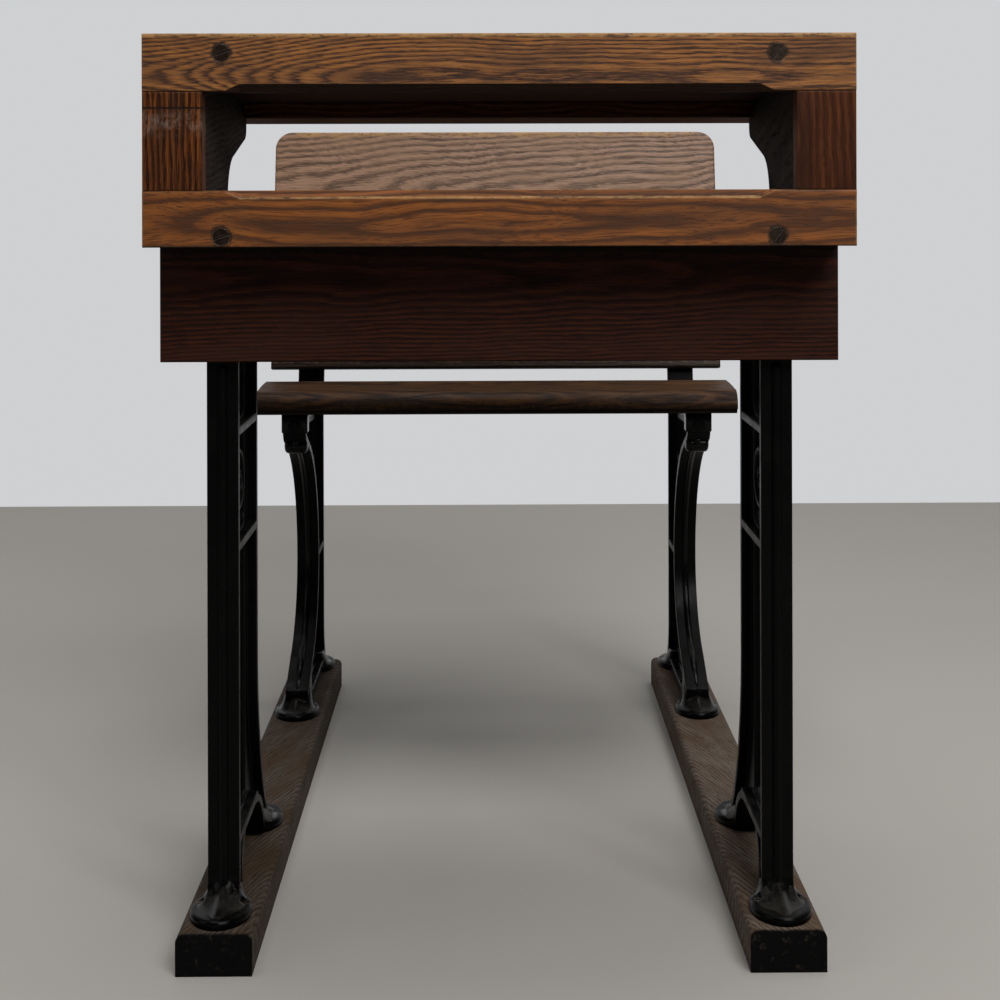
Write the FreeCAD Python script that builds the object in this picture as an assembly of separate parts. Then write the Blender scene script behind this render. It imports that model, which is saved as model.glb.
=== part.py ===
import FreeCAD, Part
import math
import os

# School desk with a lift lid and an attached seat: oak boards on cast-iron standards and two skids.
# Millimetres. X is across the desk, Y runs from the front frame to the back rest, Z is up.
# Pieces are placed with Y = 0 at the face of the front frame and moved to the origin at the end.

V = FreeCAD.Vector

# ---- driving dimensions -------------------------------------------------------------------
desk_width = 600.0            # front frame, lid, shelf, apron and back rest
desk_height = 807.4           # top of the front frame above the floor
frame_thickness = 18.3        # front frame, front to back
top_rail_height = 49.0
bottom_rail_height = 47.8
opening_height = 82.8         # clear height between the two rails
stile_width = 50.3
rail_chamfer = 6.5            # stopped chamfer on the two long edges of the opening
chamfer_run = 16.0            # length of each run-out of the stopped chamfer
chamfer_inset = 15.0          # from the stile to the start of the run-out
arris = 1.6                   # worn round on the edges of the boards

slope_deg = 4.2               # fall of the writing surface towards the seat
top_thickness = 22.0          # pen strip and lid
strip_depth = 86.0            # fixed strip, along the slope
lid_depth = 294.0             # lid, along the slope
lid_joint = 1.5               # gap between the strip and the lid
frame_lip = 5.4               # the front frame stands this much above the strip
lid_clearance = 0.3           # under the closed lid
lid_edge_round = 5.0

shelf_thickness = 18.0
shelf_depth = 227.0
cheek_thickness = 22.0
cheek_top_depth = 229.0       # behind the front frame
cheek_bottom_depth = 114.5
cheek_foot_rise = 22.0        # straight foot of the ogee, above the shelf
cheek_hollow_radius = 43.4
cheek_round_radius = 12.0
cheek_slope_deg = 15.0        # fall of the ogee between its hollow and its round
rest_rail_height = 14.0
rest_rail_thickness = 18.0

apron_height = 103.0
apron_thickness = 17.0
apron_setback = 73.0          # behind the face of the front frame

skid_width = 66.0
skid_height = 36.0
skid_length = 846.0
skid_start = 35.3
standard_inset = 52.0         # centre of the standards and skids, from the ends of the desk
skid_round = 7.0

iron_width = 28.0             # flanges of the castings
flange = 7.0
web = 8.0
bead_radius = 4.5             # round bead down the front of each desk standard
bead_end_gap = 8.0            # below the apron
bead_start = 12.0             # above the foot
standard_depth = 118.7        # desk standard, front flange to rear flange
upright_web = 19.0            # web left behind each upright's flange
window_round = 16.0
top_web = 14.0                # web left below the top flange
web_lap = 3.0                 # the ring's cross reaches this far into the web and the bars
bar_heights = (98.0, 360.0, 464.0)   # tops of the cross bars above the floor
front_leg_width = 22.0        # below the lowest bar
rear_leg_width = 26.0
arch_front = 16.0             # the arch between the legs rises over this length in front
arch_front_bow = 8.4
arch_back = 20.0              # its flat ends this far in front of the upright's rear face
arch_back_bow = 12.8
toe_reach = 8.0               # toe in front of the front leg
toe_height = 28.0
toe_bow = 2.7
rear_leg_sweep = 66.0         # the rear leg sweeps back this far
rear_leg_bend = 230.0         # height where the sweep starts
ring_radius = 30.0
ring_thickness = 7.0
hub_radius = 11.0             # boss in the middle of the ring
hub_bore = 5.0

foot_length = 68.0
foot_width = 54.0
foot_thickness = 8.0
foot_dome = 26.0              # height of the skirt between foot and leg
foot_skirt_width = 34.0
foot_skirt_length = 50.0
foot_skirt_sink = 1.0         # the skirt starts this far inside the flange
foot_steps = 4                # rings that shape the skirt
leg_sink = 2.0                # the legs start this far inside the flange
foot_round = 3.6
leg_root_width = 22.0
leg_root_depth = 16.0
leg_root_inset = 10.0         # middle of the leg's root, from the face of its flange
front_foot_at = 76.0          # centres of the feet, from the face of the front frame
rear_foot_at = 292.0
seat_front_foot_at = 642.0
seat_rear_foot_at = 848.0

seat_width = 583.0
seat_front = 588.6
seat_back_gap = 1.0           # between the seat and the arms behind it
seat_bottom = 411.8           # underside at the front edge
seat_fall_deg = 3.0
seat_bottom_round = 6.0       # round on the lower front edge
seat_front_flat = 12.4        # top of the upright front, above the underside
seat_nose_depth = 22.0        # round front of the seat
seat_nose_rise = 27.5         # top of the round, above the underside at the front
seat_nose_bow = 5.2
seat_crest = 100.0            # crest of the seat behind its front edge
seat_crest_rise = 30.5
seat_crest_bow = 1.0
seat_dish_bow = 2.2
seat_rear_rise = 16.5
seat_rear_round = 5.0

seat_standard_at = 30.0       # front of the seat standard's top, behind the seat's front edge
waist_at = 763.0              # front edge of the seat standard at its waist
waist_height = 205.0
upper_bow_radius = 170.4      # from the waist up to the knee
upper_bow_deg = 62.0
lower_bow_radius = 120.0      # from the waist down to the ankle
lower_bow_deg = 68.0
knee_chin = 26.0              # below the seat, at the front of the standard
knee_chin_slant = (6.0, 8.0)  # chamfer below the chin, along Y and Z
knee_boss_radius = 7.5
knee_boss_length = 8.0
knee_boss_drop = 16.0         # below the seat
seat_toe_inset = 4.0          # front of the leg, in front of the middle of its foot
seat_toe_height = 21.0
seat_post_back = 833.0        # rear face of the seat standard
heel_reach = 10.0             # the heel ends this far behind the middle of its foot
heel_height = 64.0
heel_bow = 6.9
seat_web = 14.0               # web left behind the flange round each window
seat_window_round = 8.0
tie_height = 52.0             # tops of the two cross bars
waist_bar_height = 212.0
upper_window_low = 330.0

back_lean_deg = 10.5
back_start = 790.6            # front of the lower back board at its bottom edge
back_base = 448.7
back_thickness = 20.0
lower_back_height = 115.0
back_gap = 40.0
upper_back_height = 168.0
back_corner = 23.0
arm_width = 34.0
arm_sheet = 6.0
arm_root_depth = 23.0
arm_tip_depth = 12.0
arm_tip_inset = 24.0          # the iron arm ends this far below the top of the back
arm_foot = 46.0               # and reaches this far below the back's bottom edge
arm_corner = 5.0
arm_lap = 3.0                 # the rib starts this far inside the flange
back_edge_round = 3.0

hinge_width = 62.0
hinge_leaf = 24.0
hinge_sheet = 2.0
hinge_inset = 100.0           # centre of each hinge, from the ends of the lid
knuckle_radius = 3.2
knuckle_count = 5
knuckle_gap = 0.4
leaf_gap = 0.6
leaf_fit = 0.2                # around each leaf in its recess
hinge_screw_off = 15.0        # from the hinge's axis
hinge_screw_pitch = 20.5
hinge_pin_radius = 1.5
hinge_rise = 1.0              # hinge axis above the writing surface
pin_clearance = 0.05

pen_groove_radius = 9.0
pen_groove_deep = 4.0
pen_groove_length = 330.0
pen_groove_start = 75.0       # from the left end of the strip
pen_groove_along = 40.0       # behind the front of the strip
inkwell_inset = 39.7          # from the right cheek
inkwell_along = 36.0          # behind the front of the strip
inkwell_radius = 15.0
inkwell_rim = 19.0
inkwell_deep = 34.0
inkwell_wall = 2.5
inkwell_fit = 0.5             # around the inkwell in its hole
rim_thickness = 3.0
rim_drop = 0.2                # top of the rim, below the writing surface
cover_radius = 19.0
cover_sheet = 1.5
cover_clearance = 0.3
cover_pivot_off = 24.5        # from the pivot to the middle of the inkwell
cover_ear = 6.0
knob_radius = 3.2
knob_height = 2.0
knob_lap = 0.4
cover_neck = 5.0              # half the width of the cover between its disc and its ear
pivot_slot = (0.4, 0.6)       # half width and depth of the slot in the pivot screw
pivot_head_radius = 4.0
pivot_head_height = 1.4

screw_clearance = 0.15
screw_rim = 0.8               # upright edge of each countersunk head
slot_share = 0.11             # half width of a slot, as a share of the head's radius
slot_deep = 1.0
slot_turn_deg = 37.0          # each slot is turned on from the last by this
over = 1.0                    # cutting tools reach this far past the surface that they cut
rail_screw_inset = 66.3       # from the ends of the rails
rail_screw_head = 7.2
rail_screw_shank = 2.8
rail_screw_length = 48.0
small_head = 3.6
small_shank = 2.0
board_screw_length = 20.0
seat_screw_length = 24.0
hinge_screw_length = 15.0
foot_screw_head = 3.8
foot_screw_length = 30.0
foot_screw_off = (21.0, 6.0)  # from the centre of the foot
flange_screw_off = 9.5        # from the middle of the flange
shelf_screw_inset = 34.0
apron_screw_inset = 26.0
seat_screw_at = (62.0, 150.0) # behind the front of the seat
back_screw_inset = 30.0       # from the edges of the back boards
pivot_screw_length = 14.0

# ---- derived places -----------------------------------------------------------------------
half_width = desk_width / 2
half_spread = half_width - standard_inset
slope = math.radians(slope_deg)
opening_top = desk_height - top_rail_height
opening_bottom = opening_top - opening_height
frame_bottom = opening_bottom - bottom_rail_height
stile_inner = half_width - stile_width
shelf_top = frame_bottom + shelf_thickness
strip_front_z = desk_height - frame_lip
standard_front = apron_setback + apron_thickness
standard_back = standard_front + standard_depth
apron_bottom = frame_bottom - apron_height
lid_start = strip_depth + lid_joint
back_lean = math.radians(back_lean_deg)
back_height = lower_back_height + back_gap + upper_back_height
arm_foot_y = back_start + back_thickness * math.cos(back_lean) - arm_foot * math.sin(back_lean)
seat_back = arm_foot_y - seat_back_gap
seat_standard_front = seat_front + seat_standard_at
foot_top = skid_height + foot_thickness
leg_low = foot_top - leg_sink
inkwell_x = stile_inner - inkwell_inset
rail_screw_x = half_width - rail_screw_inset
rail_screw = (rail_screw_head, rail_screw_shank, rail_screw_length)
board_screw = (small_head, small_shank, board_screw_length)
seat_screw = (small_head, small_shank, seat_screw_length)
hinge_screw = (small_head, small_shank, hinge_screw_length)
foot_screw = (foot_screw_head, small_shank, foot_screw_length)

nodes = {}


# ---- shape helpers ------------------------------------------------------------------------
def block(x0, x1, y0, y1, z0, z1):
    return Part.makeBox(x1 - x0, y1 - y0, z1 - z0, V(x0, y0, z0))


def rod(radius, x0, x1, y, z):
    """A round rod along X."""
    return Part.makeCylinder(radius, x1 - x0, V(x0, y, z), V(1, 0, 0))


def disc(radius, x, y, z0, z1):
    """A round disc or post along Z."""
    return Part.makeCylinder(radius, z1 - z0, V(x, y, z0))


def eased(shape, radius, keep):
    """The shape with a small round on the edges that keep picks."""
    return shape.makeFillet(radius, [e for e in shape.Edges if keep(e)])


def runs_along(axis):
    """Picks straight edges that run along an axis: 0 for X, 1 for Y, 2 for Z."""
    def picks(edge):
        if edge.Curve.TypeId != "Part::GeomLine":
            return False
        return abs(edge.tangentAt(edge.FirstParameter)[axis]) > 0.999
    return picks


def side_wire(path):
    """A closed wire in the YZ plane.

    Each step is (y, z) for a line, or ((y, z), (y, z)) for an arc by way of the first point.
    """
    start = V(0, *path[0])
    here = start
    edges = []
    for step in path[1:] + [path[0]]:
        if isinstance(step[0], tuple):
            via, end = V(0, *step[0]), V(0, *step[1])
            edges.append(Part.Arc(here, via, end).toShape())
        else:
            end = V(0, *step)
            if (end - here).Length > 1e-6:
                edges.append(Part.LineSegment(here, end).toShape())
        here = end
    return Part.Wire(edges)


def bowed(a, b, bow):
    """An arc from a to b whose middle lies off their line by bow, to the left of the way from a to b."""
    run = math.dist(a, b)
    across_y, across_z = -(b[1] - a[1]) / run, (b[0] - a[0]) / run
    return ((a[0] + b[0]) / 2 + bow * across_y, (a[1] + b[1]) / 2 + bow * across_z), b


def turned(start, radius, turn, y_way, z_way):
    """The middle and the end of an arc that leaves its start along Z and bends along Y by a turn.

    Each way is 1 or -1: the sign of the arc's run along that axis.
    """
    def at(angle):
        return start[0] + y_way * radius * (1 - math.cos(angle)), start[1] + z_way * radius * math.sin(angle)
    return at(turn / 2), at(turn)


def side_face(path):
    return Part.Face(side_wire(path))


def across(face, x_mid, width):
    """A face in the YZ plane made a slab of that width, centred on x_mid."""
    moved = face.copy()
    moved.translate(V(x_mid - width / 2, 0, 0))
    return moved.extrude(V(width, 0, 0))


def rounded_window(y0, y1, z0, z1, radius):
    """A rectangle in the YZ plane with rounded corners, as a face."""
    return softened(oblong_face((y0 + y1) / 2, (z0 + z1) / 2, (y1 - y0) / 2, (z1 - z0) / 2), radius)


def softened(face, radius):
    """The face with its outward corners rounded."""
    return face.makeOffset2D(-radius).makeOffset2D(radius)


def mirrored(shape):
    return shape.mirror(V(0, 0, 0), V(1, 0, 0))


def fuse_all(shapes):
    return shapes[0].multiFuse(shapes[1:]).removeSplitter()


def screw_body(head_radius, shank_radius, length, grow=0.0):
    """A countersunk screw along -Z with its head flush at z = 0."""
    cone = -screw_rim - (head_radius - shank_radius)
    tip = -length - grow
    head, shank = head_radius + grow, shank_radius + grow
    outline = [
        V(0, 0, grow), V(head, 0, grow), V(head, 0, -screw_rim),
        V(shank, 0, cone), V(shank, 0, tip), V(0, 0, tip),
    ]
    face = Part.Face(Part.makePolygon(outline + [outline[0]]))
    return face.revolve(V(0, 0, 0), V(0, 0, 1), 360)


def slotted_screw(head_radius, shank_radius, length, turn_deg):
    half = head_radius * slot_share
    slot = block(-head_radius - over, head_radius + over, -half, half, -slot_deep, over)
    slot.rotate(V(0, 0, 0), V(0, 0, 1), turn_deg)
    return screw_body(head_radius, shank_radius, length).cut(slot)


def placed(shape, point, outward):
    """Turns a shape built along -Z so that its head faces outward, and puts it at the point."""
    moved = shape.copy()
    moved.Placement = FreeCAD.Placement(point, FreeCAD.Rotation(V(0, 0, 1), outward))
    return moved


def drive_screws(group, points, outward, size, through):
    """Adds a group of slotted screws and drills their holes in the pieces that they pass through."""
    screws = []
    for count, point in enumerate(points):
        screws.append(placed(slotted_screw(*size, slot_turn_deg * (count + 0.5)), point, outward))
        hole = placed(screw_body(*size, screw_clearance), point, outward)
        for name in through:
            if nodes[name].BoundBox.intersect(hole.BoundBox):
                nodes[name] = nodes[name].cut(hole)
    earlier = nodes[group].Solids if group in nodes else []
    nodes[group] = Part.makeCompound(earlier + screws)


def on_slope(shape):
    """Moves a shape from the flat frame of the writing surface to its place on the slope."""
    moved = shape.copy()
    moved.rotate(V(0, 0, 0), V(1, 0, 0), -slope_deg)
    moved.translate(V(0, frame_thickness, strip_front_z))
    return moved


def slope_point(x, along, up):
    c, s = math.cos(slope), math.sin(slope)
    return V(x, frame_thickness + along * c + up * s, strip_front_z - along * s + up * c)


def underside(y):
    """Height of the underside of the strip and the closed lid at a place behind the frame's face."""
    return strip_front_z - math.tan(slope) * (y - frame_thickness) - top_thickness / math.cos(slope)


def on_back(shape):
    """Moves a shape from the upright frame of the back rest to its place on the lean."""
    moved = shape.copy()
    moved.rotate(V(0, 0, 0), V(1, 0, 0), -back_lean_deg)
    moved.translate(V(0, back_start, back_base))
    return moved


def back_point(x, behind, up):
    c, s = math.cos(back_lean), math.sin(back_lean)
    return V(x, back_start + behind * c + up * s, back_base - behind * s + up * c)


# ---- front frame --------------------------------------------------------------------------
def stopped_chamfer(edge_z, inward):
    """The wedge that a stopped chamfer takes off the front edge at edge_z.

    Inward is the way into the rail: 1 for up, -1 for down.
    """
    c, e = rail_chamfer, over
    run_end = stile_inner - chamfer_inset
    full_end = run_end - chamfer_run
    corners = [(-e, edge_z - inward * e), (c + e, edge_z - inward * e), (-e, edge_z + inward * (c + e))]
    rings = {x: [V(x, y, z) for y, z in corners] for x in (-full_end, full_end)}
    tips = {x: V(math.copysign(run_end, x), -e / 2, edge_z - inward * e / 2) for x in rings}
    faces = []
    for i in range(3):
        j = (i + 1) % 3
        left, right = rings[-full_end], rings[full_end]
        faces.append([left[i], left[j], right[j], right[i]])
        for x in rings:
            faces.append([rings[x][i], rings[x][j], tips[x]])
    shell = Part.makeShell([Part.Face(Part.makePolygon(f + [f[0]])) for f in faces])
    return Part.makeSolid(shell)


def make_front_frame():
    top = block(-half_width, half_width, 0, frame_thickness, opening_top, desk_height)
    bottom = block(-half_width, half_width, 0, frame_thickness, frame_bottom, opening_bottom)
    nodes["top_rail"] = eased(top, arris, runs_along(0)).cut(stopped_chamfer(opening_top, 1))
    nodes["bottom_rail"] = eased(bottom, arris, runs_along(0)).cut(stopped_chamfer(opening_bottom, -1))
    stile = block(stile_inner, half_width, 0, frame_thickness, opening_bottom, opening_top)
    stile = eased(stile, arris / 2, runs_along(2))
    nodes["stile_right"] = stile
    nodes["stile_left"] = mirrored(stile)


# ---- book compartment ---------------------------------------------------------------------
def make_shelf():
    back = frame_thickness + shelf_depth
    shelf = block(-half_width, half_width, frame_thickness, back, frame_bottom, shelf_top)

    def along_the_back(edge):
        return runs_along(0)(edge) and edge.BoundBox.YMin > back - over
    nodes["book_shelf"] = eased(shelf, arris * 2, along_the_back)


def make_cheeks():
    front = frame_thickness
    head_back = front + cheek_top_depth
    foot_back = front + cheek_bottom_depth
    joint_y = slope_point(0, lid_start - lid_joint / 2, 0).y
    fall = math.radians(cheek_slope_deg)
    turn = math.pi / 2 - fall
    foot = (foot_back, shelf_top + cheek_foot_rise)
    hollow = turned(foot, cheek_hollow_radius, turn, 1, 1)
    round_y = head_back - cheek_round_radius * (1 - math.cos(turn))
    round_z = hollow[1][1] + (round_y - hollow[1][0]) * math.tan(fall)
    head = (head_back, round_z + cheek_round_radius * math.sin(turn))
    shoulder = turned(head, cheek_round_radius, turn, -1, -1)
    side = side_face([
        (front, shelf_top), (foot_back, shelf_top), foot, hollow, (round_y, round_z), (shoulder[0], head),
        (head_back, underside(head_back) - lid_clearance),
        (joint_y, underside(joint_y) - lid_clearance),
        (joint_y, underside(joint_y)),
        (front, underside(front)),
    ])
    cheek = across(side, stile_inner + cheek_thickness / 2, cheek_thickness)
    nodes["cheek_right"] = cheek
    nodes["cheek_left"] = mirrored(cheek)
    rail_front = head_back - rest_rail_thickness
    rail = side_face([
        (rail_front, underside(rail_front) - lid_clearance - rest_rail_height),
        (head_back, underside(rail_front) - lid_clearance - rest_rail_height),
        (head_back, underside(head_back) - lid_clearance),
        (rail_front, underside(rail_front) - lid_clearance),
    ])
    nodes["lid_rest_rail"] = across(rail, 0, 2 * stile_inner)


def make_apron():
    apron = block(-half_width, half_width, apron_setback, standard_front, apron_bottom, frame_bottom)

    def along_the_bottom(edge):
        return runs_along(0)(edge) and edge.BoundBox.ZMax < apron_bottom + over
    nodes["apron_board"] = eased(apron, arris, along_the_bottom)


# ---- writing surface ----------------------------------------------------------------------
def hinge_x():
    return (hinge_inset - half_width, half_width - hinge_inset)


def hinge_axis_along():
    return strip_depth + lid_joint / 2


def hinge_cuts():
    """What the two hinges take out of the strip and the lid, in the flat frame."""
    axis = hinge_axis_along()
    reach = hinge_leaf + leaf_fit
    cuts = []
    for x in hinge_x():
        x0, x1 = x - hinge_width / 2 - leaf_fit, x + hinge_width / 2 + leaf_fit
        cuts.append(block(x0, x1, axis - reach, axis + reach, -hinge_sheet, over))
        cuts.append(rod(knuckle_radius + knuckle_gap, x0, x1, axis, hinge_rise))
    return cuts


def make_top():
    lean = top_thickness * math.tan(slope)
    strip = Part.Face(Part.makePolygon([
        V(-half_width, 0, 0), V(-half_width, strip_depth, 0), V(-half_width, strip_depth, -top_thickness),
        V(-half_width, lean, -top_thickness), V(-half_width, 0, 0),
    ])).extrude(V(desk_width, 0, 0))
    groove_x0 = pen_groove_start - half_width
    groove_z = pen_groove_radius - pen_groove_deep
    groove = rod(pen_groove_radius, groove_x0, groove_x0 + pen_groove_length, pen_groove_along, groove_z)
    well = disc(inkwell_radius + inkwell_fit, inkwell_x, inkwell_along, -top_thickness - over, over)
    well_seat = disc(inkwell_rim + inkwell_fit, inkwell_x, inkwell_along, -rim_thickness, over)
    for tool in [groove, well, well_seat] + hinge_cuts():
        strip = strip.cut(tool)
    nodes["pen_strip"] = on_slope(strip)

    lid = block(-half_width, half_width, lid_start, lid_start + lid_depth, -top_thickness, 0)
    lid_back = lid_start + lid_depth
    lid = eased(lid, lid_edge_round, lambda e: runs_along(0)(e) and e.BoundBox.YMin > lid_back - over)
    for tool in hinge_cuts():
        lid = lid.cut(tool)
    nodes["lid"] = on_slope(lid)


def make_inkwell():
    y, low = inkwell_along, cover_clearance
    rim_top = -rim_drop
    floor = rim_top - inkwell_deep
    body = disc(inkwell_radius, inkwell_x, y, floor, rim_top)
    rim = disc(inkwell_rim, inkwell_x, y, -rim_thickness, rim_top)
    hollow = disc(inkwell_radius - inkwell_wall, inkwell_x, y, floor + inkwell_wall, over)
    nodes["inkwell"] = on_slope(body.fuse(rim).cut(hollow).removeSplitter())

    pivot_x = inkwell_x - cover_pivot_off
    top = low + cover_sheet
    lid_disc = disc(cover_radius, inkwell_x, y, low, top)
    ear = disc(cover_ear, pivot_x, y, low, top)
    neck = block(pivot_x, inkwell_x, y - cover_neck, y + cover_neck, low, top)
    knob = disc(knob_radius, inkwell_x + cover_radius - 2 * knob_radius, y, top - knob_lap, top + knob_height)
    bore = disc(small_shank + pin_clearance, pivot_x, y, 0, top + over)
    nodes["inkwell_cover"] = on_slope(fuse_all([lid_disc, ear, neck, knob]).cut(bore))

    head_low = top + cover_clearance
    head_top = head_low + pivot_head_height
    shank = disc(small_shank, pivot_x, y, -pivot_screw_length, head_low)
    head = disc(pivot_head_radius, pivot_x, y, head_low, head_top)
    half, deep = pivot_slot
    reach = pivot_head_radius + over
    slot = block(pivot_x - reach, pivot_x + reach, y - half, y + half, head_top - deep, head_top + over)
    nodes["cover_pivot_screw"] = on_slope(shank.fuse(head).cut(slot).removeSplitter())
    depth = pivot_screw_length + screw_clearance
    hole = disc(small_shank + screw_clearance, pivot_x, y, -depth, over)
    nodes["pen_strip"] = nodes["pen_strip"].cut(on_slope(hole))


# ---- hinges -------------------------------------------------------------------------------
def make_hinges():
    axis = hinge_axis_along()
    pitch = hinge_width / knuckle_count
    for side, x in zip(("left", "right"), hinge_x()):
        x0 = x - hinge_width / 2
        x1 = x + hinge_width / 2
        bore = rod(hinge_pin_radius + pin_clearance, x0 - over, x1 + over, axis, hinge_rise)
        for first, part, direction in ((0, "strip", -1), (1, "lid", 1)):
            near = axis + direction * leaf_gap / 2
            far = axis + direction * hinge_leaf
            leaf = block(x0, x1, min(near, far), max(near, far), -hinge_sheet, 0)
            knuckles = []
            for k in range(knuckle_count):
                a, b = x0 + k * pitch, x0 + (k + 1) * pitch
                if k % 2 == first:
                    a, b = a + knuckle_gap / 2, b - knuckle_gap / 2
                    knuckles.append(rod(knuckle_radius, a, b, axis, hinge_rise))
                else:
                    leaf = leaf.cut(rod(knuckle_radius + knuckle_gap, a, b, axis, hinge_rise))
            nodes[f"hinge_{part}_leaf_{side}"] = on_slope(fuse_all([leaf] + knuckles).cut(bore))
        nodes[f"hinge_pin_{side}"] = on_slope(rod(hinge_pin_radius, x0, x1, axis, hinge_rise))


def screw_hinges():
    up = slope_point(0, 0, 1) - slope_point(0, 0, 0)
    axis = hinge_axis_along()
    for part, direction, board in (("strip", -1, "pen_strip"), ("lid", 1, "lid")):
        for side, x in zip(("left", "right"), hinge_x()):
            along = axis + direction * hinge_screw_off
            points = [slope_point(x + k * hinge_screw_pitch, along, 0) for k in (-1, 0, 1)]
            through = [f"hinge_{part}_leaf_{side}", board]
            drive_screws(f"hinge_screws_{part}", points, up, hinge_screw, through)


# ---- skids and feet -----------------------------------------------------------------------
def make_skids():
    x0 = half_spread - skid_width / 2
    skid = block(x0, x0 + skid_width, skid_start, skid_start + skid_length, 0, skid_height)
    skid = eased(skid, skid_round, lambda e: runs_along(1)(e) and e.BoundBox.ZMin > skid_height - over)
    nodes["skid_right"] = skid
    nodes["skid_left"] = mirrored(skid)


def ellipse_wire(x_mid, y_mid, z, x_axis, y_axis):
    curve = Part.Ellipse(V(0, 0, 0), max(x_axis, y_axis) / 2, min(x_axis, y_axis) / 2)
    wire = Part.Wire([curve.toShape()])
    if y_axis > x_axis:
        wire.rotate(V(0, 0, 0), V(0, 0, 1), 90)
    wire.translate(V(x_mid, y_mid, z))
    return wire


def foot_pad(y_mid, y_leg):
    """An oval foot flange, and the skirt that rises from it to the leg that stands at y_leg."""
    base = Part.Face(ellipse_wire(half_spread, y_mid, skid_height, foot_width, foot_length))
    pad = base.extrude(V(0, 0, foot_thickness))
    pad = eased(pad, foot_round, lambda e: e.BoundBox.ZMin > foot_top - over)
    rings = []
    for step in range(foot_steps + 1):
        t = step / foot_steps
        rise = foot_dome * t ** 2
        spread = (1 - t) ** 1.5
        wide = leg_root_width + (foot_skirt_width - leg_root_width) * spread
        deep = leg_root_depth + (foot_skirt_length - leg_root_depth) * spread
        middle = y_leg + (y_mid - y_leg) * spread
        rings.append(ellipse_wire(half_spread, middle, foot_top - foot_skirt_sink + rise, wide, deep))
    return [pad, Part.makeLoft(rings, True)]


# ---- desk standards -----------------------------------------------------------------------
def desk_outline():
    """Side outline of the desk standard: straight in front, sweeping back below the bend behind."""
    sweep_low = foot_top + foot_dome / 2
    turn = 2 * math.atan2(rear_leg_sweep, rear_leg_bend - sweep_low)
    radius = (rear_leg_bend - sweep_low) / math.sin(turn)
    half = turn / 2
    sweep_via = (standard_back + radius * (1 - math.cos(half)), rear_leg_bend - radius * math.sin(half))
    heel = standard_back + rear_leg_sweep
    arch_top = bar_heights[0] - flange
    arch_start = (standard_back - arch_back, arch_top)
    front_inner = (standard_front + front_leg_width, leg_low)
    toe = (standard_front - toe_reach, leg_low)
    return [
        (standard_front, frame_bottom), (standard_back, frame_bottom), (standard_back, rear_leg_bend),
        (sweep_via, (heel, sweep_low)), (heel, leg_low), (heel - rear_leg_width, leg_low),
        bowed((heel - rear_leg_width, leg_low), arch_start, -arch_back_bow),
        (front_inner[0] + arch_front, arch_top),
        bowed((front_inner[0] + arch_front, arch_top), front_inner, -arch_front_bow),
        toe, bowed(toe, (standard_front, leg_low + toe_height), -toe_bow),
    ]


def round_face(y_mid, z_mid, radius):
    """A disc in the YZ plane, as a face."""
    return Part.Face(Part.Wire([Part.Circle(V(0, y_mid, z_mid), V(1, 0, 0), radius).toShape()]))


def oblong_face(y_mid, z_mid, y_half, z_half):
    """A rectangle in the YZ plane, as a face."""
    y0, y1, z0, z1 = y_mid - y_half, y_mid + y_half, z_mid - z_half, z_mid + z_half
    return side_face([(y0, z0), (y1, z0), (y1, z1), (y0, z1)])


def ring_ornament(y_mid, z_mid, y_reach, z_reach):
    """A plain ring on a cross with a bored boss, as YZ faces that fill a window of the casting."""
    bore = round_face(y_mid, z_mid, hub_bore)
    ring = round_face(y_mid, z_mid, ring_radius).cut(round_face(y_mid, z_mid, ring_radius - ring_thickness))
    hub = round_face(y_mid, z_mid, hub_radius).cut(bore)
    upright = oblong_face(y_mid, z_mid, ring_thickness / 2, z_reach).cut(bore)
    level = oblong_face(y_mid, z_mid, y_reach, ring_thickness / 2).cut(bore)
    return [ring, hub, upright, level]


def cross_bar(y0, y1, top):
    """A flat bar between two flanges of a casting, as wide as they are."""
    return block(half_spread - iron_width / 2, half_spread + iron_width / 2, y0, y1, top - flange, top)


def make_desk_standards():
    outline = side_face(desk_outline())
    rim = outline.cut(outline.makeOffset2D(-flange))
    y0, y1 = standard_front + flange + upright_web, standard_back - flange - upright_web
    _, middle, high = bar_heights
    plate = outline
    tops = (middle - flange, high - flange, frame_bottom - flange - top_web)
    for window_low, window_top in zip(bar_heights, tops):
        plate = plate.cut(rounded_window(y0, y1, window_low, window_top, window_round))
    solids = [across(rim, half_spread, iron_width), across(plate, half_spread, web)]
    solids += [cross_bar(standard_front + over, standard_back - over, top) for top in bar_heights]
    window_half = (high - flange - middle) / 2
    y_reach, z_reach = (y1 - y0) / 2 + web_lap, window_half + web_lap
    for face in ring_ornament((y0 + y1) / 2, middle + window_half, y_reach, z_reach):
        solids.append(across(face, half_spread, web))
    bead_low = foot_top + bead_start
    bead_top = apron_bottom - bead_end_gap
    solids.append(disc(bead_radius, half_spread, standard_front, bead_low, bead_top))
    solids.append(Part.makeSphere(bead_radius, V(half_spread, standard_front, bead_top)))
    solids += foot_pad(front_foot_at, standard_front + leg_root_inset)
    solids += foot_pad(rear_foot_at, standard_back + rear_leg_sweep - leg_root_inset)
    casting = fuse_all(solids)
    nodes["desk_standard_right"] = casting
    nodes["desk_standard_left"] = mirrored(casting)


# ---- seat ---------------------------------------------------------------------------------
def seat_under(y):
    return seat_bottom - math.tan(math.radians(seat_fall_deg)) * (y - seat_front)


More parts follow.
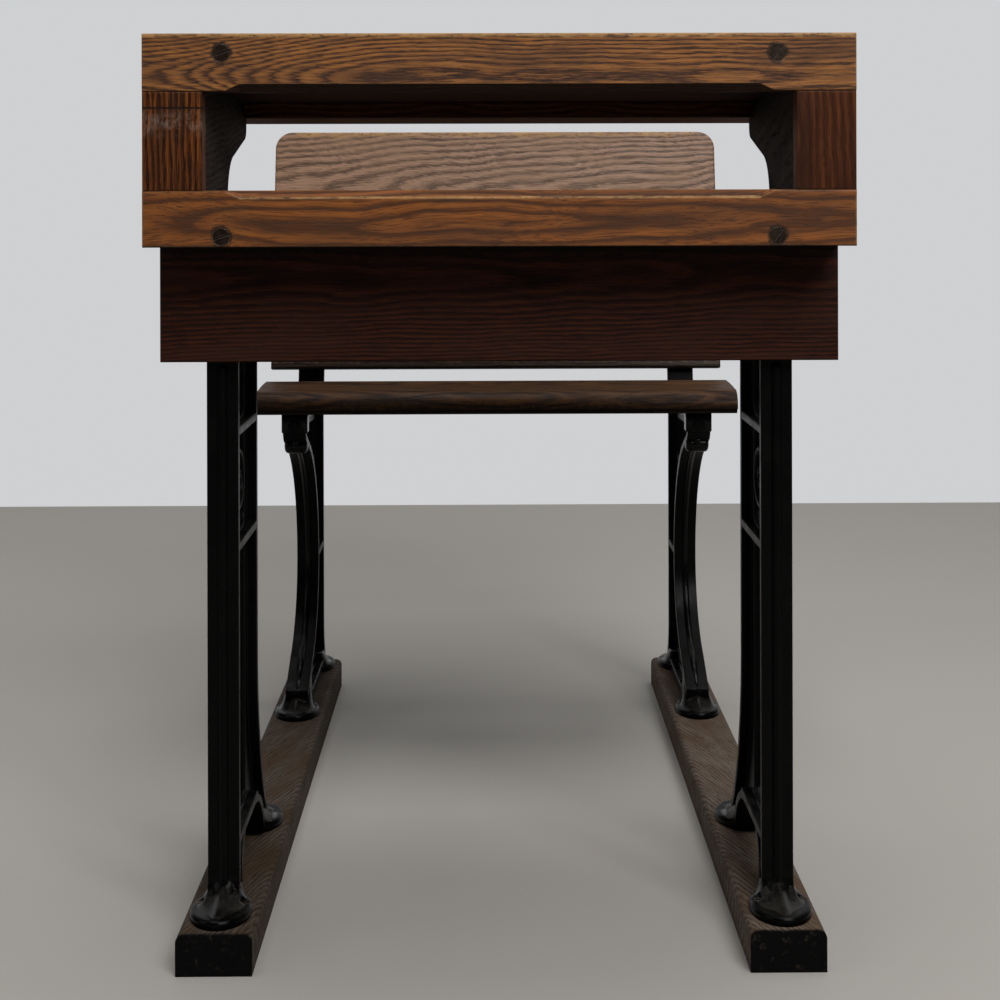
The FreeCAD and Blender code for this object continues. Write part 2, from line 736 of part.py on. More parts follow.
def make_seat():
    nose, low = seat_front, seat_bottom
    front_top = (nose, low + seat_front_flat)
    nose_top = (nose + seat_nose_depth, low + seat_nose_rise)
    crest = (nose + seat_crest, low + seat_crest_rise)
    rear = (seat_back - seat_rear_round, low + seat_rear_rise)
    quarter = 1 - math.sqrt(0.5)
    side = side_face([
        (nose + seat_bottom_round, low),
        bowed((nose + seat_bottom_round, low), (nose, low + seat_bottom_round), -quarter * seat_bottom_round),
        front_top, bowed(front_top, nose_top, seat_nose_bow), bowed(nose_top, crest, seat_crest_bow),
        bowed(crest, rear, -seat_dish_bow),
        bowed(rear, (seat_back, rear[1] - seat_rear_round), quarter * seat_rear_round),
        (seat_back, seat_under(seat_back)),
    ])
    nodes["seat_board"] = across(side, 0, seat_width)


def lower_bow():
    """The arc from the waist of the seat standard down to its ankle."""
    return turned((waist_at, waist_height), lower_bow_radius, math.radians(lower_bow_deg), -1, -1)


def seat_outline():
    """Side outline of the seat standard: bowed in to a waist in front, upright behind."""
    waist = (waist_at, waist_height)
    knee = turned(waist, upper_bow_radius, math.radians(upper_bow_deg), -1, 1)
    ankle = lower_bow()
    toe = seat_front_foot_at - seat_toe_inset
    heel = (seat_rear_foot_at + heel_reach, leg_low)
    heel_top = (seat_post_back, leg_low + heel_height)
    chin = (seat_standard_front, seat_under(seat_standard_front) - knee_chin)
    slant_y, slant_z = knee_chin_slant
    return [
        (seat_standard_front, seat_under(seat_standard_front)), (seat_post_back, seat_under(seat_post_back)),
        heel_top, bowed(heel_top, heel, -heel_bow),
        (toe, leg_low), (toe, foot_top + seat_toe_height), ankle[1], (ankle[0], waist), knee,
        (chin[0] + slant_y, chin[1] - slant_z), chin,
    ]


def make_arm():
    """The leaning arm behind the back boards: a flange in front and a tapering rib behind."""
    top = back_height - arm_tip_inset
    front = back_thickness
    x0, x1 = half_spread - arm_width / 2, half_spread + arm_width / 2
    plate = block(x0, x1, front, front + arm_sheet, -arm_foot, top)
    plate = eased(plate, arm_corner, lambda e: runs_along(1)(e) and e.BoundBox.ZMin > top - over)
    rib = across(side_face([
        (front + arm_lap, -arm_foot), (front + arm_root_depth, -arm_foot),
        (front + arm_tip_depth, top - arm_tip_depth), (front + arm_lap, top - over),
    ]), half_spread, web)
    return [on_back(plate), on_back(rib)]


def make_seat_standards():
    outline = side_face(seat_outline())
    rim = outline.cut(outline.makeOffset2D(-flange))
    inside = outline.makeOffset2D(-flange - seat_web)
    plate = outline
    for bottom, top in ((tie_height, waist_bar_height - flange), (upper_window_low, seat_bottom)):
        band = oblong_face(waist_at, (bottom + top) / 2, seat_post_back - seat_front, (top - bottom) / 2)
        for part in inside.common(band).Faces:
            plate = plate.cut(softened(part, seat_window_round))
    solids = [across(rim, half_spread, iron_width), across(plate, half_spread, web)]
    _, (ankle_y, _) = lower_bow()
    solids.append(cross_bar(ankle_y, seat_post_back - over, tie_height))
    solids.append(cross_bar(waist_at + over, seat_post_back - over, waist_bar_height))
    boss_z = seat_under(seat_standard_front) - knee_boss_drop
    boss_at = V(half_spread, seat_standard_front - knee_boss_length / 2, boss_z)
    solids.append(Part.makeCylinder(knee_boss_radius, knee_boss_length, boss_at, V(0, 1, 0)))
    solids += make_arm()
    solids += foot_pad(seat_front_foot_at, seat_front_foot_at + leg_root_inset)
    solids += foot_pad(seat_rear_foot_at, seat_rear_foot_at)
    casting = fuse_all(solids)
    nodes["seat_standard_right"] = casting
    nodes["seat_standard_left"] = mirrored(casting)


def make_back():
    def board(low, high, corner):
        plank = block(-half_width, half_width, 0, back_thickness, low, high)
        if corner:
            plank = eased(plank, corner, lambda e: runs_along(1)(e) and e.BoundBox.ZMin > high - over)
        return eased(plank, back_edge_round, lambda e: e.BoundBox.YMax < over)
    nodes["back_board_lower"] = on_back(board(0, lower_back_height, 0))
    nodes["back_board_upper"] = on_back(board(lower_back_height + back_gap, back_height, back_corner))


# ---- screws -------------------------------------------------------------------------------
def drive_frame_screws():
    out = V(0, -1, 0)
    strip_middle = slope_point(0, 0, -top_thickness / 2).z
    shelf_middle = frame_bottom + shelf_thickness / 2
    top = [V(s * rail_screw_x, 0, strip_middle) for s in (-1, 1)]
    bottom = [V(s * rail_screw_x, 0, shelf_middle) for s in (-1, 1)]
    drive_screws("rail_screws", top, out, rail_screw, ["top_rail", "pen_strip"])
    drive_screws("rail_screws", bottom, out, rail_screw, ["bottom_rail", "book_shelf"])


def drive_foot_screws():
    off_x, off_y = foot_screw_off
    feet_of = {"desk": (front_foot_at, rear_foot_at), "seat": (seat_front_foot_at, seat_rear_foot_at)}
    for side, sign in (("left", -1), ("right", 1)):
        for group, feet in feet_of.items():
            points = [V(sign * half_spread + dx, y + off_y, foot_top) for y in feet for dx in (-off_x, off_x)]
            through = [f"{group}_standard_{side}", f"skid_{side}"]
            drive_screws(f"foot_screws_{side}", points, V(0, 0, 1), foot_screw, through)


def drive_shelf_and_apron_screws():
    offs = (-flange_screw_off, flange_screw_off)
    shelf_ys = (standard_front + shelf_screw_inset, standard_back - shelf_screw_inset)
    apron_zs = (apron_bottom + apron_screw_inset, frame_bottom - apron_screw_inset)
    for side, sign in (("left", -1), ("right", 1)):
        x = sign * half_spread
        points = [V(x + dx, y, frame_bottom - flange) for dx in offs for y in shelf_ys]
        through = [f"desk_standard_{side}", "book_shelf"]
        drive_screws("shelf_screws", points, V(0, 0, -1), board_screw, through)
        points = [V(x + dx, standard_front + flange, z) for dx in offs for z in apron_zs]
        through = [f"desk_standard_{side}", "apron_board"]
        drive_screws("apron_screws", points, V(0, 1, 0), board_screw, through)


def drive_seat_screws():
    fall = math.radians(seat_fall_deg)
    down = V(0, -math.sin(fall), -math.cos(fall))
    for side, sign in (("left", -1), ("right", 1)):
        points = []
        for dx in (-flange_screw_off, flange_screw_off):
            for y in (seat_front + at for at in seat_screw_at):
                points.append(V(sign * half_spread + dx, y, seat_under(y) - flange / math.cos(fall)))
        drive_screws("seat_screws", points, down, seat_screw, [f"seat_standard_{side}", "seat_board"])


def drive_back_screws():
    behind = back_point(0, 1, 0) - back_point(0, 0, 0)
    upper_low = lower_back_height + back_gap
    heights = (back_screw_inset, lower_back_height - back_screw_inset,
               upper_low + back_screw_inset, back_height - 2 * back_screw_inset)
    for side, sign in (("left", -1), ("right", 1)):
        points = []
        for dx in (-flange_screw_off, flange_screw_off):
            for up in heights:
                points.append(back_point(sign * half_spread + dx, back_thickness + arm_sheet, up))
        boards = ["back_board_lower", "back_board_upper"]
        drive_screws("back_screws", points, behind, board_screw, [f"seat_standard_{side}"] + boards)


# ---- the whole desk -----------------------------------------------------------------------
make_front_frame()
make_shelf()
make_cheeks()
make_apron()
make_top()
make_inkwell()
make_hinges()
make_skids()
make_desk_standards()
make_seat()
make_seat_standards()
make_back()
drive_frame_screws()
screw_hinges()
drive_foot_screws()
drive_shelf_and_apron_screws()
drive_seat_screws()
drive_back_screws()

whole = Part.makeCompound(list(nodes.values())).BoundBox
to_origin = V(0, -(whole.YMin + whole.YMax) / 2, 0)
os.makedirs("parts", exist_ok=True)
for name, shape in sorted(nodes.items()):
    shape.translate(to_origin)
    shape.exportStep(f"parts/{name}.step")
    solids = shape.Solids
    print(name, len(solids), "valid" if shape.isValid() else "INVALID", round(sum(s.Volume for s in solids)))
pivot = slope_point(inkwell_x - cover_pivot_off, inkwell_along, 0) + to_origin
axis = slope_point(0, hinge_axis_along(), hinge_rise) + to_origin
print("moved by", round(to_origin.y, 3), "lid axis", tuple(axis), "cover pivot", tuple(pivot))
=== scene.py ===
"""An old oak school desk with a lift lid on cast-iron standards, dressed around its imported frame.

+X is right, +Y runs from the front frame back to the seat, and +Z is up from the floor. Blender works in
metres, and a size written in millimetres is multiplied by MM.
"""
import functools
import math

import bpy
import numpy as np
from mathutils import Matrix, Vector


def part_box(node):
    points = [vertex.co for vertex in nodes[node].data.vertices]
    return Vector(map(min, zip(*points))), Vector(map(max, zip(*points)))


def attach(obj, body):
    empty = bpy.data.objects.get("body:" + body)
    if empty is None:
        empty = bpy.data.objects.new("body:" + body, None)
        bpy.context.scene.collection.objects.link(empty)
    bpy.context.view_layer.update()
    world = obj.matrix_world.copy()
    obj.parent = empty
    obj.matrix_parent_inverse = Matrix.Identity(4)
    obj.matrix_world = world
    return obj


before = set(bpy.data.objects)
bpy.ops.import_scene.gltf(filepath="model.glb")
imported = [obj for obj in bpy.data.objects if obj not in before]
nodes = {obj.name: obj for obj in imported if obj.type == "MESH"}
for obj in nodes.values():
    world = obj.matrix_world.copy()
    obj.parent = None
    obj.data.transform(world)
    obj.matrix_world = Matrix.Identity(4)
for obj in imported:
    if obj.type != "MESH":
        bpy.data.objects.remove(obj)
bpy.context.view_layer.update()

MM = 0.001


# ---- shared helpers -----------------------------------------------------------------------
def rgb(hex_colour):
    """sRGB hex to linear RGBA."""
    channels = [int(hex_colour[i:i + 2], 16) / 255 for i in (1, 3, 5)]
    linear = [c / 12.92 if c <= 0.04045 else ((c + 0.055) / 1.055) ** 2.4 for c in channels]
    return (*linear, 1.0)


def add(tree, kind, inputs=None, stops=(), **settings):
    """Adds a shader node with its settings and its links, and gives it back.

    An input takes a value, a socket, a hex colour, or a node, which stands for its first working output.
    Stops are the (place, colour or grey) pairs of a colour ramp.
    """
    node = tree.nodes.new("ShaderNode" + kind)
    for name, value in settings.items():
        setattr(node, name, value)
    for count, (place, colour) in enumerate(stops):
        elements = node.color_ramp.elements
        element = elements[count] if count < 2 else elements.new(place)
        element.position = place
        element.color = rgb(colour) if isinstance(colour, str) else (colour, colour, colour, 1.0)
    for name, value in (inputs or {}).items():
        if isinstance(value, bpy.types.Node):
            value = next(out for out in value.outputs if out.enabled)
        if isinstance(value, bpy.types.NodeSocket):
            tree.links.new(value, node.inputs[name])
        else:
            node.inputs[name].default_value = rgb(value) if isinstance(value, str) else value
    return node


def new_material(name):
    """A material, the way to add nodes to it, and its shader."""
    material = bpy.data.materials.new(name)
    material.use_nodes = True
    tree = material.node_tree
    return material, functools.partial(add, tree), tree.nodes["Principled BSDF"]


def connect(shader, links):
    """Joins nodes to the shader's inputs by name."""
    for name, node in links.items():
        shader.id_data.links.new(next(out for out in node.outputs if out.enabled), shader.inputs[name])


def grains(put, vector, long_mm, wide_mm, detail=3.0, roughness=0.5):
    """Noise drawn out along X: long_mm by wide_mm, or even blotches where the two are alike.

    Detail is how many finer layers the noise has, and roughness how strong they are.
    """
    size = (1 / (long_mm * MM), 1 / (wide_mm * MM), 1 / (wide_mm * MM))
    drawn = put("VectorMath", {0: vector, 1: size}, operation="MULTIPLY")
    return put("TexNoise", {"Vector": drawn, "Scale": 1.0, "Detail": detail, "Roughness": roughness})


# Cosines of how far a rounded normal leans from the true one where an edge starts, and where it is full.
EDGE_LEAN = (0.985, 0.82)


def edge_mask(put, radius_mm):
    """1 at a sharp edge and 0 away from it, and the normal that is rounded over the radius."""
    rounded = put("Bevel", {"Radius": radius_mm * MM}, samples=4)
    true = put("NewGeometry").outputs["Normal"]
    lean = put("VectorMath", {0: rounded, 1: true}, operation="DOT_PRODUCT")
    return put("MapRange", {"Value": lean, "From Min": EDGE_LEAN[0], "From Max": EDGE_LEAN[1]}), rounded


# Settings that many nodes share.
TIMES = dict(operation="MULTIPLY")
PLUS = dict(operation="ADD")
TIMES_PLUS = dict(operation="MULTIPLY_ADD")
COLOUR = dict(data_type="RGBA")


# ---- oak ----------------------------------------------------------------------------------
# Turns that lay the pattern's X along a board's grain.
GRAIN_TURN = {"x": (0, 0, 0), "y": (0, 0, math.radians(-90)), "z": (0, math.radians(90), 0)}
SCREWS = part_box("rail_screws")
SCREW_HEAD_MM = 7.5


def rubbed(put, place, half_length, y, z, reach):
    """Finish worn down to pale wood with dark chips, within the reach of a line along X, in mm."""
    off = put("VectorMath", {0: place, 1: (0.0, y * MM, z * MM)}, operation="SUBTRACT")
    off = put("VectorMath", {0: off}, operation="ABSOLUTE")
    off = put("VectorMath", {0: off, 1: (half_length * MM, 0.0, 0.0)}, operation="SUBTRACT")
    past = put("VectorMath", {0: off, 1: (0.0, 0.0, 0.0)}, operation="MAXIMUM")
    away = put("VectorMath", {0: past}, operation="LENGTH")
    blotches = grains(put, place, 13.0, 13.0, 4.0, 0.7)
    patchy = put("Math", {0: blotches, 1: -1.6 * reach * MM, 2: away}, **TIMES_PLUS)
    near = put("MapRange", {"Value": patchy, "From Min": 0.2 * reach * MM, "From Max": -0.2 * reach * MM})
    thin = put("MapRange", {"Value": grains(put, place, 21.0, 9.0, 4.0, 0.7), "From Min": 0.36,
                            "From Max": 0.6, "To Min": 0.15, "To Max": 0.85})
    chips = put("MapRange", {"Value": grains(put, place, 9.0, 2.2, 4.0, 0.75), "From Min": 0.56,
                             "From Max": 0.62, "To Max": 0.8})
    return [(put("Math", {0: near, 1: thin}, **TIMES), "#a07a4a"),
            (put("Math", {0: near, 1: chips}, **TIMES), "#2a1a10")]


def screw_stain(put, place):
    """The black ring that iron leaves in oak, round each of the four screws.

    The frame is folded onto one quarter, so one distance in XZ, from one screw, serves all four.
    """
    middle = (SCREWS[0] + SCREWS[1]) / 2
    reach = (SCREWS[1] - SCREWS[0]) / 2
    head = SCREW_HEAD_MM * MM
    off = put("VectorMath", {0: place, 1: middle}, operation="SUBTRACT")
    off = put("VectorMath", {0: off}, operation="ABSOLUTE")
    off = put("VectorMath", {0: off, 1: (reach.x - head, 0.0, reach.z - head)}, operation="SUBTRACT")
    flat = put("VectorMath", {0: off, 1: (1.0, 0.0, 1.0)}, **TIMES)
    away = put("VectorMath", {0: flat}, operation="LENGTH")
    uneven = put("Math", {0: grains(put, place, 6.0, 6.0, 3.0, 0.6), 1: -8.0 * MM, 2: away}, **TIMES_PLUS)
    ring = put("MapRange", {"Value": uneven, "From Min": head - 1.4 * MM, "From Max": head - 3.6 * MM,
                            "To Max": 0.85})
    return ring, "#180e08"


def marks_and_painted_shade(put, place, kind, axis, middle_mm, half_mm):
    """One mark on a board: a band across an axis with an uneven border, as an amount and a colour.

    A crack is a dark open line, a scrape is finish rubbed grey in strokes, shade is painted shade, a darker
    band where shadow falls, and the near-black kind darkens a band almost to black, with a few chips.
    """
    even = grains(put, place, 6.0, 6.0, 3.0, 0.6)
    along = put("SeparateXYZ", {0: place}).outputs[axis]
    uneven = put("Math", {0: even, 1: half_mm * MM, 2: -(middle_mm + 0.5 * half_mm) * MM}, **TIMES_PLUS)
    off = put("Math", {0: put("Math", {0: along, 1: uneven}, **PLUS)}, operation="ABSOLUTE")
    near = put("MapRange", {"Value": off, "From Min": half_mm * MM, "From Max": half_mm * 0.3 * MM})
    if kind == "crack":
        return near, "#120804"
    # Painted shade: a darker band where shadow falls.
    if kind == "shade":
        return put("Math", {0: near, 1: 0.88}, **TIMES), "#0d0603"
    # A near-black band, with a few chips.
    if kind == "near_black":
        chips = put("MapRange", {"Value": grains(put, place, 14.0, 14.0, 5.0, 0.75), "From Min": 0.66,
                                 "From Max": 0.7, "To Min": 1.0, "To Max": 0.8})
        return put("Math", {0: near, 1: chips}, **TIMES), "#020202"
    on_end = put("Mapping", {"Vector": place, "Rotation": GRAIN_TURN["z"]})
    strokes = put("MapRange", {"Value": grains(put, on_end, 9.0, 1.0, 4.0, 0.75), "From Min": 0.4,
                               "From Max": 0.64, "To Max": 0.62})
    patchy = put("MapRange", {"Value": even, "From Min": 0.4, "From Max": 0.56})
    scrape = put("Math", {0: strokes, 1: patchy}, **TIMES)
    return put("Math", {0: near, 1: scrape}, **TIMES), "#7d6c61"


def oak(name, look, grain, pith, tilt, ring):
    """Old plain-sawn oak: ring-porous, so each year's ring starts with a dark band of open pores.

    The pattern is the rings of a log round a slightly tilted pith that lies near the face, so they run
    along the board and close in tall arches where the face cuts them. Ring is a year's width in mm.
    """
    material, put, shader = new_material(name)
    place = put("TexCoord").outputs["Object"]
    along = put("Mapping", {"Vector": place, "Rotation": GRAIN_TURN[grain]})
    turned = put("Mapping", {"Vector": along, "Location": [p * MM for p in pith],
                             "Rotation": [math.radians(t) for t in tilt]})

    # The log isn't straight: its rings stray sideways over a hand's length, and their lines fray.
    wander = grains(put, turned, 110.0, 46.0, 2.0, 0.4).outputs["Color"]
    centred = put("VectorMath", {0: wander, 1: (0.5, 0.5, 0.5)}, operation="SUBTRACT")
    bent = look["wander"] * MM
    log = put("VectorMath", {0: centred, 1: (0.0, bent, bent), 2: turned}, **TIMES_PLUS)
    cross = put("VectorMath", {0: log, 1: (0.0, 1.0, 1.0)}, **TIMES)
    radius = put("VectorMath", {0: cross}, operation="LENGTH")
    ragged = put("Math", {0: grains(put, log, 24.0, 1.3, 3.0, 0.6), 1: look["ragged"]}, **TIMES)
    years = put("Math", {0: radius, 1: 1 / (ring * MM), 2: ragged}, **TIMES_PLUS)
    if "swell" in look:
        start, end, gained = look["swell"]
        swell = put("MapRange", {"Value": put("SeparateXYZ", {0: along}), "From Min": start * MM,
                                 "From Max": end * MM, "To Max": gained}, interpolation_type="SMOOTHSTEP")
        years = put("Math", {0: years, 1: swell}, operation="SUBTRACT")
    season = put("Math", {0: years}, operation="FRACT")
    band = look["band"]
    wood = put("ValToRGB", {"Fac": season}, stops=[
        (0.0, look["early"]), (0.4 * band, look["early"]), (band, look["mid"]),
        (0.5 + 0.5 * band, look["late"]), (0.92, look["mid"]), (1.0, look["early"])])

    # Open pores are 0.3 mm wide and 5 to 20 mm long; drawn about 1.7 mm wide, to show.
    pores = put("MapRange", {"Value": grains(put, log, 26.0, 1.7, 3.0, 0.7), "From Min": 0.53,
                             "From Max": 0.58})
    early = put("ValToRGB", {"Fac": season}, stops=[
        (0.0, 1.0), (0.3, 0.8), (0.6, 0.3), (0.93, 0.25), (1.0, 1.0)])
    open_pores = put("Math", {0: pores, 1: early}, **TIMES)
    hairs = put("MapRange", {"Value": grains(put, log, 45.0, look["hair_mm"], 3.0, 0.6), "From Min": 0.49,
                             "From Max": 0.62, "To Max": look["hair_depth"]})
    tone = grains(put, log, 130.0, 26.0, 4.0, 0.6)
    blotches = put("MapRange", {"Value": tone, "From Min": 0.46, "From Max": 0.66,
                                "To Max": look["blotch_depth"]})

    # Hands wear the finish off the arrises, and knocks leave dark dents, most of them there too.
    edges, rounded = edge_mask(put, look["arris"])
    wear = put("MapRange", {"Value": grains(put, place, 9.0, 9.0, 5.0, 0.7), "From Min": 0.4, "From Max": 0.6,
                            "To Min": 0.15, "To Max": look["wear"]})
    bumped = put("MapRange", {"Value": grains(put, place, 3.5, 3.5, 4.0, 0.7), "From Min": 0.62,
                              "From Max": 0.72})
    exposed = put("MapRange", {"Value": edges, "From Max": 0.6, "To Min": 0.12, "To Max": 0.9})
    knocks = put("Math", {0: bumped, 1: exposed}, **TIMES)

    # Faces that look down are unfinished, so rougher, and their colour is darkened with painted shade.
    facing = put("VectorTransform", {"Vector": put("NewGeometry").outputs["Normal"]}, vector_type="NORMAL",
                 convert_from="WORLD", convert_to="OBJECT")
    upward = put("SeparateXYZ", {0: facing}).outputs["Z"]
    underside_shade_colour, underside_shade_depth = look["under"]
    under = put("MapRange", {"Value": upward, "From Min": -0.25, "From Max": -0.7, "To Max": underside_shade_depth})

    layers = [
        (put("Math", {0: open_pores, 1: look["pore_depth"]}, **TIMES), look["pore"]),
        (hairs, look["hair"]),
        (blotches, look["blotch"]),
        (put("Math", {0: edges, 1: wear}, **TIMES), look["worn"]),
        (knocks, look["pore"]),
    ]
    for rub in look.get("rubs", ()):
        layers += rubbed(put, place, *rub)
    if look.get("stained"):
        layers.append(screw_stain(put, place))
    for mark_or_shade in look.get("marks_and_shade", ()):
        layers.append(marks_and_painted_shade(put, place, *mark_or_shade))
    # Painted shade on the faces that look down.
    layers.append((under, underside_shade_colour))
    for amount, colour in layers:
        wood = put("Mix", {0: amount, 6: wood, 7: colour}, **COLOUR)

    dull = put("MapRange", {"Value": tone, "From Min": 0.3, "From Max": 0.7, "To Min": look["rough"][0],
                            "To Max": look["rough"][1]})
    rough = put("Math", {0: open_pores, 1: 0.2, 2: dull}, **TIMES_PLUS)
    rough = put("Math", {0: under, 1: 0.7, 2: rough}, use_clamp=True, **TIMES_PLUS)
    sunk = put("Math", {0: knocks, 1: 1.5, 2: open_pores}, **TIMES_PLUS)
    year_relief = put("Math", {0: season, 1: 0.3}, **TIMES)
    relief = put("Math", {0: year_relief, 1: sunk}, operation="SUBTRACT")
    bump = put("Bump", {"Height": relief, "Strength": look["relief"], "Distance": 0.4 * MM,
                        "Normal": rounded})
    connect(shader, {"Base Color": wood, "Roughness": rough, "Normal": bump})
    shader.inputs["IOR"].default_value = 1.5
    shader.inputs["Specular IOR Level"].default_value = look["gloss"]
    shader.inputs["Coat Weight"].default_value = look["coat"]
    shader.inputs["Coat Roughness"].default_value = 0.3
    return material


# A look is how one board's oak has aged.
#   early, mid, late  colours through a year's wood, and band is the share of the year that is early wood
#   pore, hair        open pores, and dark fibres hair_mm wide, each with the depth of its colour
#   blotch            patches of old finish, with the depth of their colour
#   worn, wear        bare wood on the arrises, and how much of it shows
#   arris             mm over which an edge looks rounded
#   rough             least and most roughness
#   gloss, coat       strength of the wood's own reflection, and of its thin varnish
#   relief            how deep the pores and rings feel
#   wander, ragged    mm that the rings stray, and years by which their lines fray
#   under             colour and depth of the painted shade on faces that look down
#   swell             where along the grain, in mm, the rings shift, and by how many years
#   rubs              places worn bare, as rubbed takes them
#   marks_and_shade   other marks, and bands of painted shade, as marks_and_painted_shade takes them
#   stained           whether the iron screws have stained the board

# Varnished front frame: warm mid-brown with dark open pores, half shiny, its arrises rubbed pale.
FRONT = dict(early="#3a2113", mid="#6a411f", late="#8c5a2f", band=0.3, pore="#22140b", pore_depth=0.85,
             hair="#4a2d19", hair_depth=0.55, hair_mm=1.6, blotch="#40281a", blotch_depth=0.55,
             worn="#a57c50", wear=0.9, arris=2.8, rough=(0.42, 0.54), gloss=0.22, coat=0.03, relief=0.5,
             wander=8.0, ragged=1.1, under=("#0d0503", 0.93))
TOP = dict(FRONT, mid="#734820", late="#946030", swell=(-310.0, -100.0, 8.0),
           rubs=[(300.0, -441.0, 807.4, 4.0)], stained=True)
# A milder board with wide rings and fewer pores; its pale line on the chamfer is wear and painted highlight.
SMOOTH = dict(FRONT, early="#4d2b12", mid="#734119", late="#854e21", band=0.4, hair="#3a2010", hair_mm=1.4,
              hair_depth=0.7, pore_depth=0.4, blotch="#3c2313", blotch_depth=0.5, worn="#b08352",
              wander=16.0, ragged=0.25, relief=0.25, rubs=[(218.0, -441.0, 669.6, 1.7)], stained=True)
# Reddish stain soaked into coarse grain; the left stile is cracked and scraped, the right one plainer.
STILE = dict(FRONT, early="#1c0b03", mid="#54290a", late="#7a4214", hair="#2c1406", blotch="#241106",
             wear=0.4, blotch_depth=0.6, worn="#6d4a2e", wander=10.0, ragged=1.5, band=0.45, gloss=0.1,
             marks_and_shade=[("crack", "Z", 744.8, 1.3), ("scrape", "Z", 733, 13)])
PLAIN_STILE = dict(STILE, early="#361a08", mid="#43200a", late="#552b10", pore_depth=0.4,
                   blotch="#2b1208", blotch_depth=0.75, wander=24.0, ragged=1.0, marks_and_shade=())
# Inside the desk: unvarnished, grey-brown and dull with age and dirt.
INSIDE = dict(early="#14100d", mid="#231b17", late="#2e2621", band=0.4, pore="#0c0908", pore_depth=0.5,
              hair="#191412", hair_depth=0.4, hair_mm=1.6, blotch="#2f2823", blotch_depth=0.4,
              worn="#453a32", wear=0.3, arris=1.5, rough=(0.6, 0.72), gloss=0.12, coat=0.0, relief=0.35,
              wander=14.0, ragged=0.7, under=("#0d0503", 0.8))
# The cheeks: darker oak, with painted shadow of the desk's top across their upper part.
CHEEK = dict(INSIDE, early="#120e0b", mid="#261e19", late="#362d27", marks_and_shade=[("shade", "Z", 790, 64)])
# The rest rail: a much lighter, redder copy of the inside oak, which is painted light in the deep shade under
# the lid.
UNDER = dict(INSIDE, early="#4f2c1c", mid="#6c422e", late="#7a4d36", hair="#5a3322", blotch="#4a2c1f",
             worn="#5a3a28", rough=(0.7, 0.85), gloss=0.06)
# Dark red-brown stain that hides most of the grain, and painted shadow along its top, under the frame.
APRON = dict(early="#1b0803", mid="#2e1207", late="#3e1c0d", band=0.45, pore="#0e0503", pore_depth=0.6,
             hair="#1c0a05", hair_depth=0.6, hair_mm=1.4, blotch="#301a12", blotch_depth=0.45,
             worn="#553526", wear=0.4, arris=1.5, rough=(0.5, 0.62), gloss=0.1, coat=0.0, relief=0.35,
             wander=8.0, ragged=1.0, under=("#0d0503", 0.8), marks_and_shade=[("shade", "Z", 628, 16)])
# Worn by backs and hands to a greyish tan with a faint polish.
SEAT = dict(early="#4b3424", mid="#7b5c46", late="#8f6e53", band=0.35, pore="#3a281d", pore_depth=0.5,
            hair="#5c4332", hair_depth=0.45, hair_mm=1.4, blotch="#876a50", blotch_depth=0.4,
            worn="#a08355", wear=0.6, arris=2.5, rough=(0.4, 0.52), gloss=0.25, coat=0.04, relief=0.4,
            wander=16.0, ragged=1.1, under=("#0d0503", 0.85))
# The lower back board: darker along its bottom edge, above the seat, which is painted shade.
LOWER_BACK = dict(SEAT, marks_and_shade=[("shade", "Z", 450.0, 18.0)])
BACK = dict(SEAT, early="#503a2a", mid="#7f604a", late="#9a7860", rubs=[(268.0, 409.5, 764.0, 6.0)])
# The seat board: a darker copy of the seat's oak, which is painted shade under the desk, and painted shadow
# across its front.
SEAT_IN_PAINTED_SHADE = dict(SEAT, early="#20120a", mid="#3a2412", late="#523418", blotch="#4a321c", pore="#150c06",
                hair="#2a180c", worn="#7a5c3c", gloss=0.1, coat=0.0, marks_and_shade=[("shade", "Z", 412.0, 20.0)])
# Bare weathered skids: grey and rough, and near-black at the front end.
SKID = dict(early="#463a31", mid="#5f544a", late="#6f6357", band=0.3, pore="#1c1510", pore_depth=0.6,
            hair="#40352d", hair_depth=0.5, hair_mm=1.6, blotch="#4d3a29", blotch_depth=0.7,
            worn="#7a6c5d", wear=0.4, arris=2.0, rough=(0.6, 0.75), gloss=0.09, coat=0.0, relief=0.5,
            wander=16.0, ragged=1.2, under=("#1a130e", 0.6), marks_and_shade=[("near_black", "Y", -407.0, 6.0)])
# The left skid is a darker copy of the right one: painted shade, as the light falls from the right.
SHADED_SKID = dict(SKID, early="#2f2620", mid="#42382f", late="#54493e", blotch="#3a2b1d", hair="#2f2620")
# The writing surface and pen strip: the front's oak, a little darker and less rubbed, with a browner painted
# shade on the faces that look down.
WRITING = dict(FRONT, early="#442a17", mid="#6a4223", late="#80542f", wear=0.6, under=("#3a1c0e", 0.9))

